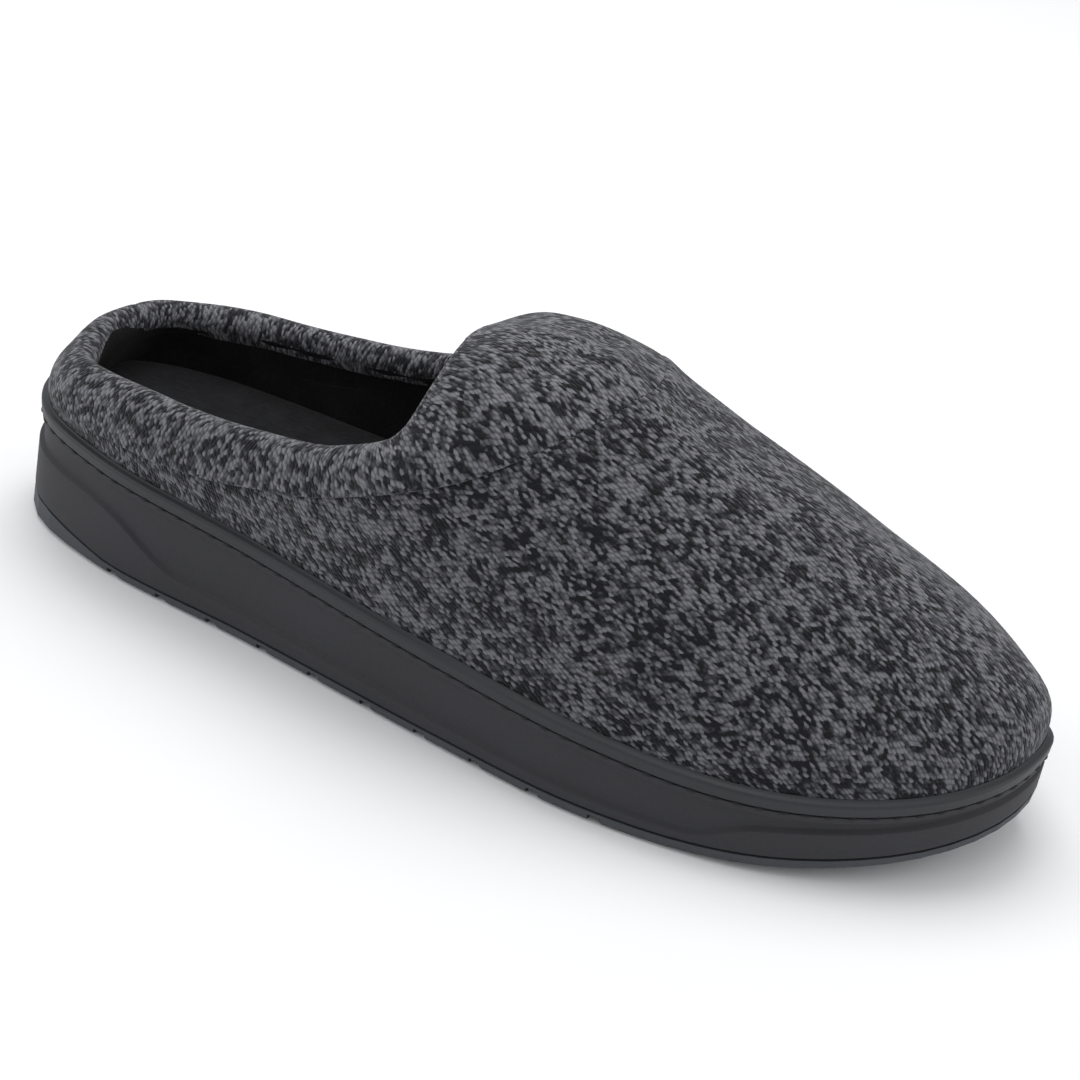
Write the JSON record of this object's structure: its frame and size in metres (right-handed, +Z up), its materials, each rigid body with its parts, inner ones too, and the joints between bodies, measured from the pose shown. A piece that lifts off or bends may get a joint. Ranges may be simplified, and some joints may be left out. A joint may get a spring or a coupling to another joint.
{
  "type": "slipper",
  "caption": "Backless slipper for a right foot with a marled grey knit upper, a padded collar and a dark moulded foam sole.",
  "frame": {"origin": "middle of the footprint on the floor", "axes": "+X towards the toe, +Y towards the medial side, +Z up from the floor"},
  "size_m": [0.2928, 0.1104, 0.0971],
  "materials": {
    "tread": "matte",
    "foam": "matte",
    "piping": "satin",
    "knit": "knitted",
    "band": "knitted",
    "fleece": "fleece"
  },
  "bodies": {
    "root": {"outsole": "tread", "midsole": "foam", "rand": "piping", "upper": "knit", "collar": "band", "footbed": "fleece"}
  },
  "joints": []
}
